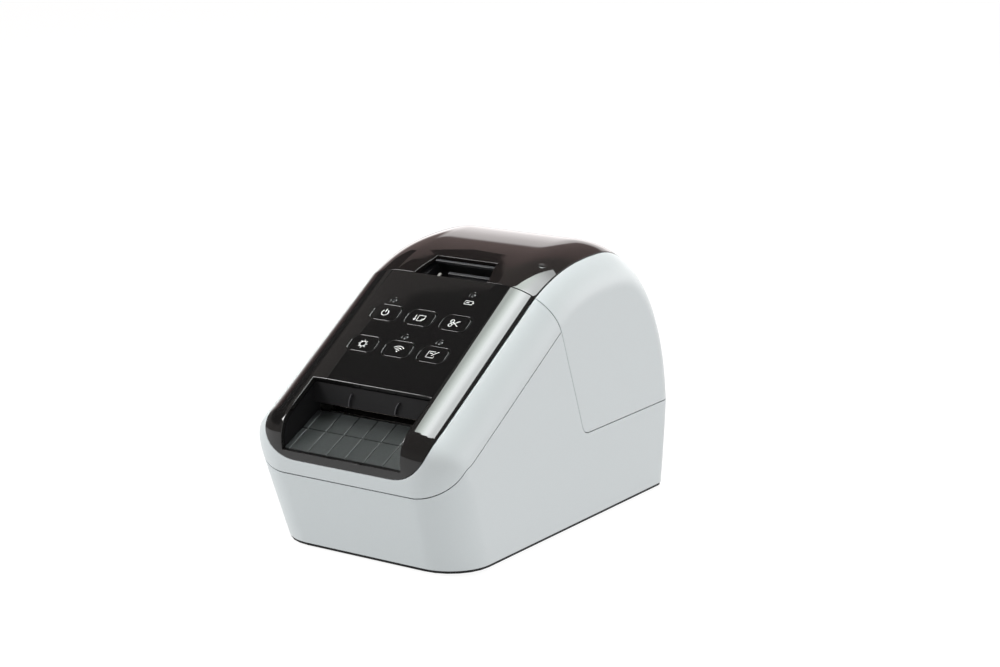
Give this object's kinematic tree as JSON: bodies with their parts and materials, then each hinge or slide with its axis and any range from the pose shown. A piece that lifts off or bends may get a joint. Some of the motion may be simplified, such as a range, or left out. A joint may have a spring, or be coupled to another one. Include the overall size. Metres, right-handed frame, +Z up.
{
  "type": "thermal label printer",
  "caption": "Desktop label printer with a silver case, glossy black control slope, smoked hinged lid over the roll bay, and a front outlet with a grooved tray.",
  "frame": {"origin": "middle of the bounding box on the surface the printer stands on", "axes": "+X to the right seen from the front, label outlet faces -Y, +Z up"},
  "size_m": [0.1254, 0.2248, 0.1448],
  "materials": {
    "silver": "satin silver-white paint on plastic",
    "gloss_black": "polished black plastic",
    "smoke": "smoked, slightly see-through plastic, polished",
    "black": "fine matt moulded plastic",
    "charcoal": "fine-grained matt plastic",
    "rubber": "matt rubber",
    "steel": "plain pressed steel",
    "gear": "natural acetal",
    "board": "lacquered circuit board",
    "ceramic": "glazed ceramic of the print head",
    "light": "clear light guide, unlit"
  },
  "bodies": {
    "body": {"lower_case": "silver", "front_frame": "silver", "front_panel": "gloss_black", "base_plate": "black", "outlet_housing": "black", "finger_recess": "black", "label_tray": "charcoal", "hinge_mount": "black", "hinge_shaft": "steel", "foot_front_left": "rubber", "foot_front_right": "rubber", "foot_rear_left": "rubber", "foot_rear_right": "rubber", "case_screw_front_left": "steel", "case_screw_front_right": "steel", "case_screw_rear_left": "steel", "case_screw_rear_right": "steel", "light_guide_1": "light", "light_guide_2": "light", "light_guide_3": "light", "light_guide_4": "light", "key_board": "board", "main_board": "board", "power_board": "board", "port_board": "board", "wireless_board": "board", "mechanism_frame": "steel", "feed_motor": "steel", "idler_pin": "steel", "cutter_fixed_blade": "steel", "cutter_motor": "steel", "label_guide": "black", "label_sensor": "black", "roll_cradle": "black", "usb_port": "steel", "ac_inlet": "black"},
    "power_button": {"power_button": "gloss_black"},
    "feed_button": {"feed_button": "gloss_black"},
    "cut_button": {"cut_button": "gloss_black"},
    "setup_button": {"setup_button": "gloss_black"},
    "wireless_button": {"wireless_button": "gloss_black"},
    "editor_button": {"editor_button": "gloss_black"},
    "platen": {"platen_roller": "rubber", "platen_gear": "gear"},
    "idler": {"idler_gear": "gear"},
    "pinion": {"motor_pinion": "steel"},
    "blade": {"cutter_blade": "steel"},
    "crank": {"cutter_crank": "gear"},
    "head": {"head_carrier": "steel", "print_head": "ceramic", "heat_sink": "steel", "head_spring_left": "steel", "head_spring_right": "steel"},
    "lid": {"lid_cover": "silver", "lid_window": "smoke", "lid_frame": "black", "lid_hinge_arm_left": "black", "lid_hinge_arm_right": "black"}
  },
  "joints": [
    {"name": "power_button_press", "type": "slide", "parent": "body", "child": "power_button", "axis": [0, 0.5324, -0.8465], "range_m": [0, 0.0006], "stiffness_N_per_m": 400, "springref_m": -0.0004},
    {"name": "feed_button_press", "type": "slide", "parent": "body", "child": "feed_button", "axis": [0, 0.5324, -0.8465], "range_m": [0, 0.0006], "stiffness_N_per_m": 400, "springref_m": -0.0004},
    {"name": "cut_button_press", "type": "slide", "parent": "body", "child": "cut_button", "axis": [0, 0.5324, -0.8465], "range_m": [0, 0.0006], "stiffness_N_per_m": 400, "springref_m": -0.0004},
    {"name": "setup_button_press", "type": "slide", "parent": "body", "child": "setup_button", "axis": [0, 0.5324, -0.8465], "range_m": [0, 0.0006], "stiffness_N_per_m": 400, "springref_m": -0.0004},
    {"name": "wireless_button_press", "type": "slide", "parent": "body", "child": "wireless_button", "axis": [0, 0.5324, -0.8465], "range_m": [0, 0.0006], "stiffness_N_per_m": 400, "springref_m": -0.0004},
    {"name": "editor_button_press", "type": "slide", "parent": "body", "child": "editor_button", "axis": [0, 0.5324, -0.8465], "range_m": [0, 0.0006], "stiffness_N_per_m": 400, "springref_m": -0.0004},
    {"name": "lid_hinge", "type": "hinge", "parent": "body", "child": "lid", "pos_m": [0, 0.10916, 0.0498], "axis": [-1, 0, 0], "range_deg": [0, 75]},
    {"name": "platen_spin", "type": "hinge", "parent": "body", "child": "platen", "pos_m": [0, -0.06144, 0.062], "axis": [1, 0, 0], "continuous": true},
    {"name": "idler_spin", "type": "hinge", "parent": "body", "child": "idler", "pos_m": [0, -0.04835, 0.0464], "axis": [1, 0, 0], "continuous": true},
    {"name": "pinion_spin", "type": "hinge", "parent": "body", "child": "pinion", "pos_m": [0, -0.03343, 0.04097], "axis": [1, 0, 0], "continuous": true},
    {"name": "crank_turn", "type": "hinge", "parent": "body", "child": "crank", "pos_m": [0, -0.06744, 0.074], "axis": [1, 0, 0], "range_deg": [0, 90.1]},
    {"name": "blade_drop", "type": "slide", "parent": "body", "child": "blade", "axis": [0, 0, -1], "range_m": [0, 0.006]},
    {"name": "head_tilt", "type": "hinge", "parent": "body", "child": "head", "pos_m": [0, -0.03944, 0.084], "axis": [-1, 0, 0], "range_deg": [0, 5], "stiffness_Nm_per_rad": 6, "springref_deg": -2.86, "deforming": ["head_spring_left", "head_spring_right"]}
  ],
  "couplings": [
    {"joint": "idler_spin", "follows": "platen_spin", "ratio": -0.8},
    {"joint": "pinion_spin", "follows": "platen_spin", "ratio": 2},
    {"joint": "crank_turn", "follows": "blade_drop", "rad_per_m": 261.79}
  ]
}
